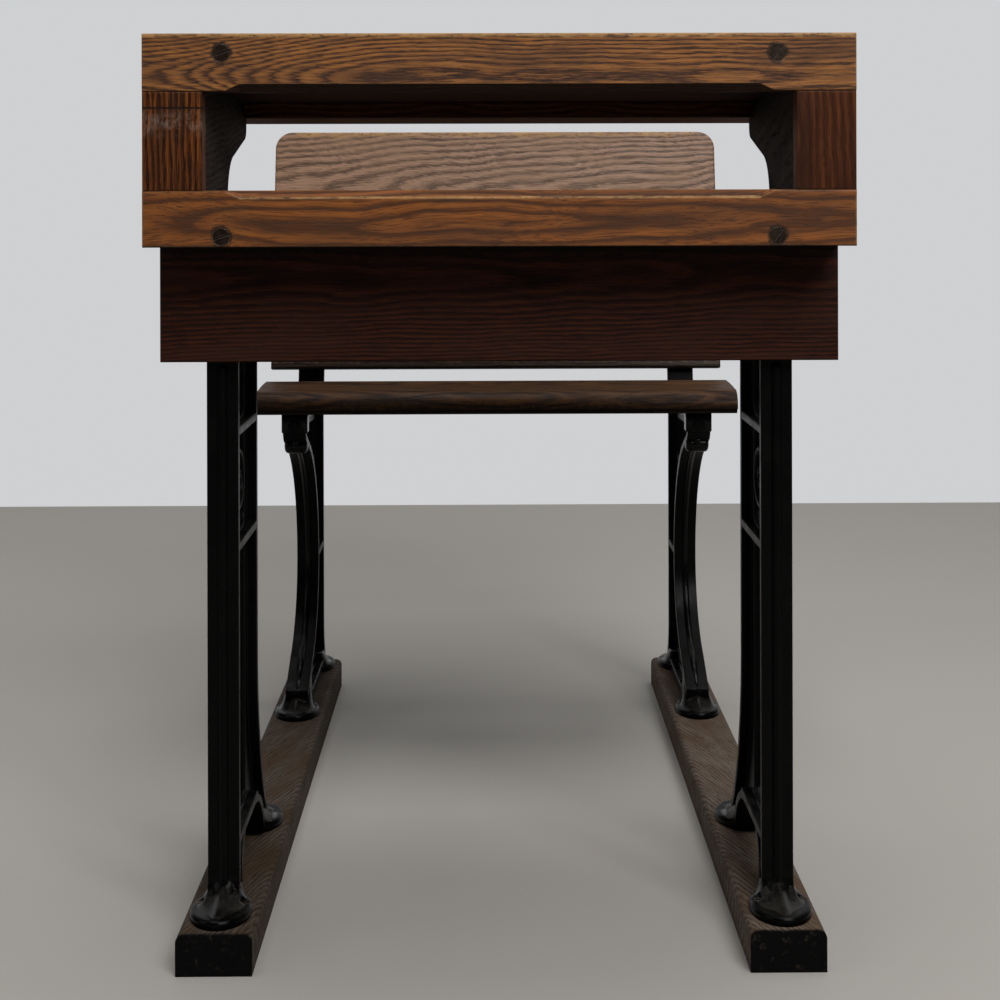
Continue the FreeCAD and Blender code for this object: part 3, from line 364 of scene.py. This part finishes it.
# Each board: material name, look, way of the grain, pith (mm), tilt of the log (degrees), ring width (mm).
BOARDS = {
    "top_rail": ("plain_sawn_oak_top_rail", TOP, "x", (0, 455, -771), (0, 0, 0), 3.2),
    "bottom_rail": ("plain_sawn_oak_bottom_rail", SMOOTH, "x", (0, 440, -648), (0, 0.5, -3.0), 8.0),
    "stile_left": ("oak_left_stile", STILE, "z", (0, 380, 272), (0, 0.6, 0.8), 5.2),
    "stile_right": ("oak_right_stile", PLAIN_STILE, "z", (0, 330, -270), (0, 1.0, 1.0), 8.0),
    "cheek_left": ("old_oak_left_cheek", CHEEK, "y", (0, -340, -600), (0, 6.0, 2.0), 5.0),
    "cheek_right": ("old_oak_right_cheek", CHEEK, "y", (0, 330, -640), (0, -9.0, 2.0), 5.0),
    "lid_rest_rail": ("old_oak_rest_rail", UNDER, "x", (0, 250, -720), (0, 0.6, 0.6), 4.0),
    "book_shelf": ("old_oak_shelf", INSIDE, "x", (0, 290, -600), (0, 1.0, 2.0), 5.0),
    "apron_board": ("stained_oak_apron", APRON, "x", (0, 420, -600), (0, 0.5, 0.8), 2.8),
    "pen_strip": ("oak_pen_strip", WRITING, "x", (0, 380, -770), (0, 1.0, 1.2), 3.6),
    "lid": ("oak_lid", WRITING, "x", (0, 180, -700), (0, 1.2, 1.0), 4.2),
    "seat_board": ("worn_oak_seat", SEAT_IN_PAINTED_SHADE, "x", (0, -220, -380), (0, 0.8, 1.0), 4.0),
    "back_board_lower": ("worn_oak_lower_back", LOWER_BACK, "x", (0, -400, -500), (0, 1.2, 1.6), 4.0),
    "back_board_upper": ("worn_oak_upper_back", BACK, "x", (0, -446, -665), (0, 1.0, 4.0), 6.5),
    "skid_left": ("weathered_oak_left_skid", SHADED_SKID, "y", (0, 250, -10), (0, 1.0, 20.0), 4.5),
    "skid_right": ("weathered_oak_right_skid", SKID, "y", (0, -250, -10), (0, 1.0, -20.0), 4.5),
}


# ---- metals and glaze ---------------------------------------------------------------------
# Shoes and brooms keep cast iron shiny up to the first height above the floor, fading out at the second.
SHOE_HEIGHT = (50 * MM, 90 * MM)


def cast_iron(name, least_rough, most_rough, gloss, dust_and_top_light):
    """Sand-cast iron under old black paint: a soft pebbled skin, duller and lighter where it faces up.

    The lighter colour facing up is dust, and on the rubbed castings partly painted light on their tops.
    """
    material, put, shader = new_material(name)
    place = put("TexCoord").outputs["Object"]
    # Casting sand leaves pits of 0.3 to 1 mm; drawn at 2.4 mm, to show.
    sand = grains(put, place, 2.4, 2.4, 3.0, 0.6)
    worn = grains(put, place, 26.0, 26.0, 4.0, 0.65)
    patches = put("MapRange", {"Value": worn, "From Min": 0.5, "From Max": 0.72, "To Max": 0.7})
    edges, rounded = edge_mask(put, 2.6)
    up = put("SeparateXYZ", {0: put("NewGeometry").outputs["Normal"]}).outputs["Z"]
    flat = put("MapRange", {"Value": up, "From Min": 0.55, "From Max": 0.98, "To Max": 0.5})
    settled = put("MapRange", {"Value": worn, "From Min": 0.36, "From Max": 0.6})
    # Lighter where it faces up: dust, and on the rubbed castings painted light on their tops.
    dust_and_top_light_mask = put("Math", {0: flat, 1: settled}, **TIMES)
    paint = put("Mix", {0: patches, 6: "#020202", 7: "#060605"}, **COLOUR)
    paint = put("Mix", {0: put("Math", {0: edges, 1: 0.18}, **TIMES), 6: paint, 7: "#1c1a18"}, **COLOUR)
    paint = put("Mix", {0: dust_and_top_light_mask, 6: paint, 7: dust_and_top_light}, **COLOUR)
    dull = put("MapRange", {"Value": worn, "From Min": 0.3, "From Max": 0.7, "To Min": least_rough,
                            "To Max": most_rough})
    height = put("SeparateXYZ", {0: place}).outputs["Z"]
    rubbed_low = put("MapRange", {"Value": height, "From Min": SHOE_HEIGHT[0], "From Max": SHOE_HEIGHT[1],
                                  "To Min": 0.55})
    dull = put("Math", {0: dull, 1: rubbed_low}, **TIMES)
    rough = put("Math", {0: dust_and_top_light_mask, 1: 0.45, 2: dull}, use_clamp=True, **TIMES_PLUS)
    bump = put("Bump", {"Height": sand, "Strength": 0.3, "Distance": 0.5 * MM, "Normal": rounded})
    connect(shader, {"Base Color": paint, "Roughness": rough, "Normal": bump})
    shader.inputs["Specular IOR Level"].default_value = gloss
    return material


def metal(name, clean, dull, worn, rough, patch_mm):
    """Old bare metal: patchy tarnish over a brushed or turned face, rubbed bright at its edges and slots.

    The bright edges and slots are partly wear and partly a painted highlight.
    """
    material, put, shader = new_material(name)
    place = put("TexCoord").outputs["Object"]
    patches = grains(put, place, patch_mm, patch_mm, 4.0, 0.65)
    tarnish = put("MapRange", {"Value": patches, "From Min": 0.35, "From Max": 0.65})
    colour = put("Mix", {0: tarnish, 6: clean, 7: dull}, **COLOUR)
    edges, rounded = edge_mask(put, 0.5)
    # Bright edges and slots: partly wear, partly a painted highlight.
    worn_and_highlit_edges = put("Math", {0: edges, 1: 0.7}, **TIMES)
    colour = put("Mix", {0: worn_and_highlit_edges, 6: colour, 7: worn}, **COLOUR)
    bump = put("Bump", {"Height": patches, "Strength": 0.25, "Distance": 0.2 * MM, "Normal": rounded})
    roughness = put("MapRange", {"Value": patches, "From Min": 0.3, "From Max": 0.7, "To Min": rough[0],
                                 "To Max": rough[1]})
    connect(shader, {"Base Color": colour, "Roughness": roughness, "Normal": bump})
    shader.inputs["Metallic"].default_value = 1.0
    return material


def glaze():
    """White glazed stoneware: smooth and glassy, with faint ink stains."""
    material, put, shader = new_material("glazed_stoneware")
    place = put("TexCoord").outputs["Object"]
    stains = grains(put, place, 11.0, 11.0, 4.0, 0.6)
    inky = put("MapRange", {"Value": stains, "From Min": 0.55, "From Max": 0.75})
    colour = put("Mix", {0: inky, 6: "#cfc8b8", 7: "#5d6176"}, **COLOUR)
    rough = put("MapRange", {"Value": stains, "From Min": 0.3, "From Max": 0.8, "To Min": 0.12,
                             "To Max": 0.3})
    connect(shader, {"Base Color": colour, "Roughness": rough})
    return material


# ---- dress the frame's nodes --------------------------------------------------------------
def dress(node, material):
    """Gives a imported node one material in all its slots."""
    for slot in nodes[node].material_slots:
        slot.link = "OBJECT"
        slot.material = material


# Each iron: least and most roughness, gloss, and its colour facing up: dust, and on the rubbed iron painted
# light.
IRON = cast_iron("black_painted_cast_iron", 0.28, 0.44, 0.08, "#1b1a18")
# Hands and shoes keep the mouldings of the feet and of the seat's legs shinier still; the lighter colour
# on their upward faces is partly dust and partly painted light.
RUBBED_IRON = cast_iron("rubbed_cast_iron", 0.15, 0.28, 0.14, "#37342f")
# Each metal: its colour clean, tarnished, and bright at its edges from wear and painted highlight, least and
# most roughness, and mm of its patches.
DARK_STEEL = metal("dark_screw_steel", "#372d26", "#1f1814", "#9a8f86", (0.45, 0.6), 3.3)
HINGE_STEEL = metal("browned_hinge_steel", "#544c43", "#3d362f", "#8d847a", (0.4, 0.55), 12.0)
BRASS = metal("tarnished_brass", "#94743e", "#5d4829", "#c8a764", (0.28, 0.45), 9.0)
GLAZE = glaze()

for node, board in BOARDS.items():
    dress(node, oak(*board))
for node in nodes:
    if "standard" in node:
        dress(node, IRON)
    elif node in ("inkwell_cover", "cover_pivot_screw"):
        dress(node, BRASS)
    elif node == "inkwell":
        dress(node, GLAZE)
    elif node.startswith("hinge") and "screws" not in node:
        dress(node, HINGE_STEEL)
    elif "screws" in node:
        dress(node, DARK_STEEL)


# ---- mouldings of the castings ------------------------------------------------------------
# Places on a casting are mm behind the face of the front frame, and mm above the floor.
FRAME_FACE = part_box("top_rail")[0].y
STANDARD_X = sum(corner.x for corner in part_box("skid_right")) / 2   # both stand on the middle of a skid
IRON_HALF = 14 * MM             # half the width of a leg

# The oval feet, on the skids, with a screw on each side of the leg, and the bells on them.
FOOT_THICK = 8 * MM
FOOT_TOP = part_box("skid_left")[1].z + FOOT_THICK
FOOT_HALF = (27 * MM, 34 * MM)
FOOT_SCREW_OFF = (21 * MM, 6 * MM)
SCREW_SEAT = 4.6 * MM           # radius that stays flat round a screw
SEAT_EDGE = 1.2 * MM            # width of the step round it
RIM_INSET = 3.0 * MM            # from the foot's rim in to the bell's
LEG_INSET = 0.9 * MM            # how far the bell starts inside the leg
LEG_SQUARENESS = 6.0
OVAL = 2.0
SUNK = 0.5 * MM                 # how deep the bell is let into the foot
HOLLOW = 2.2
RIDGE_RISE = 4.0 * MM
RIDGE_HALF = 4.5 * MM
RIDGE_START = 4.0 * MM          # over which the ridge rises, in front of the leg's middle
BELL_RINGS = 52
BELL_POINTS = 168

# Each foot: its middle, its leg's middle and half depth, how high its bell climbs the leg, how far it leans
# back for each mm of height, and whether the ridge of the leg's bead runs over it.
FEET = {
    "desk_front": dict(foot=76, leg=101, leg_half=11.5, rise=11, lean=0.0, ridge=1),
    "desk_rear": dict(foot=292, leg=255, leg_half=14.0, rise=18, lean=0.0, ridge=0),
    "seat_front": dict(foot=642, leg=651, leg_half=12.5, rise=30, lean=0.85, ridge=1),
    "seat_rear": dict(foot=848, leg=829, leg_half=14.0, rise=18, lean=0.0, ridge=0),
}

# The front of a seat standard: two arcs that meet at its waist, each with its radius in mm and its sweep in
# degrees, between the toe and the chin under its head.
TOE = (638.0, 60.0)
LOWER_BOW = (120.0, 68.0)
WAIST = (763.0, 205.0)
UPPER_BOW = (170.4, 62.0)
CHIN = (624.6, 376.2)
BEAD = 4.0 * MM
BEAD_POINTS = 20

# Its head: a square block and the roll under it. The block's sections are at these shares of its height.
HEAD_HALF = 16 * MM
HEAD_DEPTH = 22 * MM
HEAD_FRONT = 617.4
HEAD_HEIGHTS = (385.5, 410.3)
HEAD_LEVELS = np.array([0.0, 0.0, 0.06, 0.94, 1.0, 1.0])
HEAD_INSETS = np.array([3.0, 1.4, 0.0, 0.0, 1.0, 3.0]) * MM
HEAD_SQUARENESS = 8.0
HEAD_POINTS = 72
ROLL = 10 * MM
ROLL_HALF = 14.6 * MM
ROLL_AT = (640.0, 368.5)
ROLL_REACH = 0.499              # of pi, just under the half that would bring its ends to a point
ROLL_RINGS = 41
ROLL_POINTS = 48

# The windows of a desk standard's web, between these depths and at these heights, and the ring with its
# petalled boss in the middle one.
WEB_HALF = 4 * MM
WINDOW_DEPTHS = (116.0, 182.7)
WINDOW_HEIGHTS = ((98.0, 353.0), (360.0, 457.0), (464.0, 606.8))
WINDOW_CORNER = 16 * MM
CORNER_POINTS = 10
MOULDING = 1.8 * MM
RING_AT = (149.35, 408.5)
RING_MIDDLE = 26.5 * MM
RING_BEAD = 2.4 * MM
RING_POINTS = 48
BOSS_MIDDLE = 8 * MM
BOSS_BEAD = 2.0 * MM
BOSS_POINTS = 144
PETALS = 8
PETAL_SWELL = 0.7 * MM


def cast(name, surfaces, material=IRON):
    """One piece of closed cast-iron surfaces, each an array of rings (ring, point, XYZ) and whether it loops.

    Each ring is joined to the next. The two ends are closed on their middles, or the last ring is joined to
    the first. Faces are turned outward by the sign of the volume inside.
    """
    points, faces, start = [], [], 0
    for rings, looped in surfaces:
        count, size, _ = rings.shape
        index = np.arange(count * size).reshape(count, size)
        after = np.roll(index, -1, axis=0) if looped else index[1:]
        before = index if looped else index[:-1]
        quads = np.stack([before, np.roll(before, -1, 1), np.roll(after, -1, 1), after], -1).reshape(-1, 4)
        flat = rings.reshape(-1, 3)
        a, b, c = (flat[quads[:, i]] for i in range(3))
        turn = -1 if np.einsum("ij,ij->", a - flat.mean(0), np.cross(b - a, c - a)) < 0 else 1
        faces += (quads[:, ::turn] + start).tolist()
        if not looped:
            flat = np.vstack([flat, rings[0].mean(0), rings[-1].mean(0)])
            first, last = index[0], index[-1]
            low_cap = np.stack([np.roll(first, -1), first, np.full(size, count * size)], -1)
            high_cap = np.stack([last, np.roll(last, -1), np.full(size, count * size + 1)], -1)
            faces += (np.vstack([low_cap, high_cap])[:, ::turn] + start).tolist()
        points.append(flat)
        start += len(flat)
    mesh = bpy.data.meshes.new(name)
    mesh.from_pydata(np.vstack(points).tolist(), [], faces)
    mesh.shade_smooth()
    mesh.materials.append(material)
    piece = bpy.data.objects.new(name, mesh)
    bpy.context.collection.objects.link(piece)
    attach(piece, "desk_frame")


def in_frame(point):
    """Millimetres behind the frame's face and above the floor, as a place in the YZ plane."""
    return FRAME_FACE + point[0] * MM, point[1] * MM


def around(steps):
    """The angles of a full circle in even steps, without the last, which is the first again."""
    return np.linspace(0, 2 * np.pi, steps, endpoint=False)


def on_circle(middle, radius, angle):
    """Points of a circle in the YZ plane, with the angle from +Y towards +Z."""
    return np.stack([middle[0] + radius * np.cos(angle), middle[1] + radius * np.sin(angle)], -1)


def arc(middle, radius, start_deg, end_deg, steps=24):
    """Points of an arc in the YZ plane, both its ends among them."""
    return on_circle(middle, radius, np.radians(np.linspace(start_deg, end_deg, steps)))


def rounded_section(angle, half_x, half_y, squareness):
    """Superellipse: |x / half_x| ** n + |y / half_y| ** n = 1, where n is the squareness."""
    c, s = np.cos(angle), np.sin(angle)
    radius = (np.abs(c / half_x) ** squareness + np.abs(s / half_y) ** squareness) ** (-1 / squareness)
    return radius * c, radius * s


def swept(path, outward, radius):
    """A round bead along a path in a YZ plane: a ring at each point, in the plane of X and the outward way.

    The radius is one value, or one for each point of the path.
    """
    angle = around(BEAD_POINTS)
    radii = np.broadcast_to(radius, len(path))[:, None, None]
    level = np.cos(angle)[None, :, None] * np.array((1.0, 0.0, 0.0))
    return path[:, None, :] + radii * (level + np.sin(angle)[None, :, None] * outward[:, None, :])


def outward_path(x, flat, looped=False):
    """A YZ path put at an X, and its outward way, which is its run turned a quarter to the right."""
    run = np.roll(flat, -1, 0) - np.roll(flat, 1, 0) if looped else np.gradient(flat, axis=0)
    run /= np.linalg.norm(run, axis=1)[:, None]
    nothing = np.zeros(len(flat))
    return np.stack([nothing + x, flat[:, 0], flat[:, 1]], -1), np.stack([nothing, run[:, 1], -run[:, 0]], -1)


def foot_bell(x_mid, foot, leg, leg_half, rise, lean, ridge):
    """The hollow-sided bell that a leg grows out of, on its oval foot.

    Height is rise * (1 - s) ** HOLLOW, where s runs from 0 inside the leg to 1 near the foot's rim. A ridge
    of height RIDGE_RISE * exp(-(x / RIDGE_HALF) ** 2) carries the leg's bead out over the toe, and the bell
    drops to the foot's flat top round each of its two screws. It leans back by lean times its height, as
    a leg does that sweeps down to its toe.
    """
    foot_y, _ = in_frame((foot, 0))
    leg_y, _ = in_frame((leg, 0))
    angle = around(BELL_POINTS)
    share = np.linspace(0, 1, BELL_RINGS)[:, None]
    leg_x, leg_dy = rounded_section(angle, IRON_HALF - LEG_INSET, leg_half * MM - LEG_INSET,
                                    LEG_SQUARENESS)
    rim_x, rim_dy = rounded_section(angle, FOOT_HALF[0] - RIM_INSET, FOOT_HALF[1] - RIM_INSET, OVAL)
    x = leg_x + (rim_x - leg_x) * share
    y = leg_y + leg_dy + (foot_y + rim_dy - leg_y - leg_dy) * share
    toe = np.clip((leg_y - y) / RIDGE_START, 0, 1)
    crest = ridge * RIDGE_RISE * np.exp(-(x / RIDGE_HALF) ** 2) * toe * (1 - share ** 3)
    height = rise * MM * (1 - share) ** HOLLOW + crest
    off_x, off_y = FOOT_SCREW_OFF
    away = np.hypot(np.abs(x) - off_x, y - foot_y - off_y)
    seat = np.clip((away - SCREW_SEAT) / SEAT_EDGE, 0, 1)
    z = FOOT_TOP - SUNK + (height + SUNK * (1 - share)) * seat * seat * (3 - 2 * seat)
    y = y + lean * np.maximum(z - FOOT_TOP, 0)
    top = np.stack([x_mid + x, y, z], -1)
    base = top[-1:] * (1, 1, 0) + (0, 0, FOOT_TOP - 3 * SUNK)
    return np.concatenate([top, base])


def seat_leg_bead(x_mid):
    """The bead down the front of a seat standard, from its toe by its waist to its chin."""
    waist_y, waist_z = in_frame(WAIST)
    lower_radius, lower_sweep = LOWER_BOW
    upper_radius, upper_sweep = UPPER_BOW
    lower = arc((waist_y - lower_radius * MM, waist_z), lower_radius * MM, -lower_sweep, 0)
    upper = arc((waist_y - upper_radius * MM, waist_z), upper_radius * MM, 0, upper_sweep)
    line = np.vstack([in_frame(TOE), lower, upper[1:], in_frame(CHIN)])
    return swept(*outward_path(x_mid, line), BEAD)


def head_block(x_mid):
    """The square head of a seat standard: superellipse sections up the block, drawn in at its two ends."""
    front, low = in_frame((HEAD_FRONT, HEAD_HEIGHTS[0]))
    high = HEAD_HEIGHTS[1] * MM
    x, y = rounded_section(around(HEAD_POINTS), 1.0, 1.0, HEAD_SQUARENESS)
    half = (HEAD_HALF - HEAD_INSETS)[:, None]
    depth = (HEAD_DEPTH / 2 - HEAD_INSETS)[:, None]
    z = (low + (high - low) * HEAD_LEVELS)[:, None] + 0 * x
    return np.stack([x_mid + half * x, front + HEAD_DEPTH / 2 + depth * y, z], -1)


def head_roll(x_mid):
    """The roll under the head, a barrel across X.

    Its radius is ROLL * (1 - t ** 8) ** 0.5 at the share t of its half length.
    """
    middle_y, middle_z = in_frame(ROLL_AT)
    t = np.sin(np.linspace(-ROLL_REACH, ROLL_REACH, ROLL_RINGS) * np.pi)
    angle = around(ROLL_POINTS)
    radius = (ROLL * np.sqrt(1 - t ** 8))[:, None]
    x = (x_mid + ROLL_HALF * t)[:, None] + 0 * angle
    return np.stack([x, middle_y + radius * np.cos(angle), middle_z + radius * np.sin(angle)], -1)


def window_path(low, high, corner):
    """A rectangle in the YZ plane with round corners: four arcs, one after another."""
    corners = ((high[0], high[1], 0), (low[0], high[1], 90), (low[0], low[1], 180), (high[0], low[1], 270))
    return np.vstack([
        arc((y + corner * (1 if y == low[0] else -1), z + corner * (1 if z == low[1] else -1)), corner,
            start, start + 90, CORNER_POINTS)
        for y, z, start in corners
    ])


def web_mouldings(x):
    """The beads on one face of a desk standard's web: round its windows, its ring and its boss.

    The boss is a ring whose bead swells and thins with the cosine of PETALS times the angle.
    """
    beads = []
    near, far = WINDOW_DEPTHS
    for low, high in WINDOW_HEIGHTS:
        rim = window_path(in_frame((near, low)), in_frame((far, high)), WINDOW_CORNER)
        beads.append((rim, MOULDING))
    beads.append((on_circle(in_frame(RING_AT), RING_MIDDLE, around(RING_POINTS)), RING_BEAD))
    boss_angle = around(BOSS_POINTS)
    petals = BOSS_BEAD + PETAL_SWELL * np.cos(PETALS * boss_angle)
    beads.append((on_circle(in_frame(RING_AT), BOSS_MIDDLE, boss_angle), petals))
    return [(swept(*outward_path(x, line, True), radius), True) for line, radius in beads]


for side, standard_x in (("left", -STANDARD_X), ("right", STANDARD_X)):
    for foot_name, sizes in FEET.items():
        cast(f"{foot_name}_foot_bell_{side}", [(foot_bell(standard_x, **sizes), False)], RUBBED_IRON)
    cast(f"seat_leg_bead_{side}", [(seat_leg_bead(standard_x), False)], RUBBED_IRON)
    cast(f"seat_leg_head_{side}", [(head_block(standard_x), False), (head_roll(standard_x), False)],
         RUBBED_IRON)
    cast(f"desk_standard_mouldings_{side}",
         web_mouldings(standard_x - WEB_HALF) + web_mouldings(standard_x + WEB_HALF))


# ---- room, light and camera ---------------------------------------------------------------
WALL_SEEN = "#cfd0d2"

# The floor stops where the wall's foot shows from the front; the wall itself stands well behind that and
# reaches below the floor, which leaves room to look at the desk's back.
REACH = 6.0
FLOOR_END = 1.8
WALL_AT = 4.5
WALL_FOOT = -1.2
WALL_TOP = 4.5
FLOOR = [(-REACH, -REACH, 0), (REACH, -REACH, 0), (REACH, FLOOR_END, 0), (-REACH, FLOOR_END, 0)]
WALL = [(-REACH, WALL_AT, WALL_FOOT), (REACH, WALL_AT, WALL_FOOT), (REACH, WALL_AT, WALL_TOP),
        (-REACH, WALL_AT, WALL_TOP)]


def plane(name, corners, material):
    """One flat face of the room, which isn't part of the desk."""
    mesh = bpy.data.meshes.new(name)
    mesh.from_pydata(corners, [], [(0, 1, 2, 3)])
    mesh.materials.append(material)
    obj = bpy.data.objects.new(name, mesh)
    bpy.context.collection.objects.link(obj)


def painted_wall():
    """A pale matt wall that the camera and reflections see at its own colour, whatever the lamps do."""
    material, put, shader = new_material("pale_wall")
    shader.inputs["Base Color"].default_value = rgb("#c9cacc")
    shader.inputs["Roughness"].default_value = 0.9
    path = put("LightPath")
    seen = put("Math", {0: path.outputs["Is Camera Ray"], 1: path.outputs["Is Glossy Ray"]},
               operation="MAXIMUM")
    seen = put("Math", {0: seen, 1: path.outputs["Is Transmission Ray"]}, operation="MAXIMUM")
    glow = put("Emission", {"Color": WALL_SEEN, "Strength": 1.0})
    mixed = put("MixShader", {0: seen, 1: shader.outputs[0], 2: glow})
    connect(material.node_tree.nodes["Material Output"], {"Surface": mixed})
    return material


def matt_floor():
    """Plain pale matt paint, which keeps the desk's shadow."""
    material, _, shader = new_material("pale_floor")
    shader.inputs["Base Color"].default_value = rgb("#a39f99")
    shader.inputs["Roughness"].default_value = 0.7
    return material


def softbox(name, place, target, size, watts):
    """A rectangular lamp at a place, with its face turned to the target."""
    lamp = bpy.data.lights.new(name, "AREA")
    lamp.shape = "RECTANGLE"
    lamp.size, lamp.size_y = size
    lamp.energy = watts
    obj = bpy.data.objects.new(name, lamp)
    obj.location = place
    aim = np.array(target) - np.array(place)
    obj.rotation_euler = (math.atan2(math.hypot(aim[0], aim[1]), -aim[2]), 0, math.atan2(-aim[0], aim[1]))
    bpy.context.collection.objects.link(obj)


def dim_room():
    """A dim room all round, which the camera sees as pale as the wall. Its dimness keeps the iron black."""
    world = bpy.data.worlds.new("room")
    world.use_nodes = True
    put = functools.partial(add, world.node_tree)
    light = world.node_tree.nodes["Background"]
    light.inputs["Color"].default_value = rgb("#e6e8ea")
    light.inputs["Strength"].default_value = 0.09
    path = put("LightPath")
    seen = put("Math", {0: path.outputs["Is Camera Ray"], 1: path.outputs["Is Transmission Ray"]},
               operation="MAXIMUM")
    pale = put("Background", {"Color": WALL_SEEN, "Strength": 1.0})
    mixed = put("MixShader", {0: seen, 1: light.outputs[0], 2: pale})
    connect(world.node_tree.nodes["World Output"], {"Surface": mixed})
    return world


plane("floor", FLOOR, matt_floor())
plane("wall", WALL, painted_wall())
bpy.context.scene.world = dim_room()
softbox("ceiling", (0.3, 0.0, 5.0), (0, 0, 0), (4.0, 4.0), 172)
softbox("window", (0.9, -2.6, 2.5), (0, 0, 0.7), (1.8, 1.4), 80)
softbox("fill", (-2.6, -1.2, 1.8), (0, 0, 0.5), (1.4, 1.4), 8)

# A level camera, 1.34 m in front of the frame; its shift looks down at the feet and keeps uprights upright.
camera = bpy.data.cameras.new("camera")
camera.lens = 57.6
camera.sensor_width = 36.0
camera.shift_x = -0.004
camera.shift_y = -0.2892
camera_object = bpy.data.objects.new("camera", camera)
camera_object.location = (-0.0104, -1.7837, 0.658)
camera_object.rotation_euler = (math.radians(90), 0.0026, -0.0101)
bpy.context.collection.objects.link(camera_object)
bpy.context.scene.camera = camera_object
bpy.context.scene.view_settings.view_transform = "Standard"
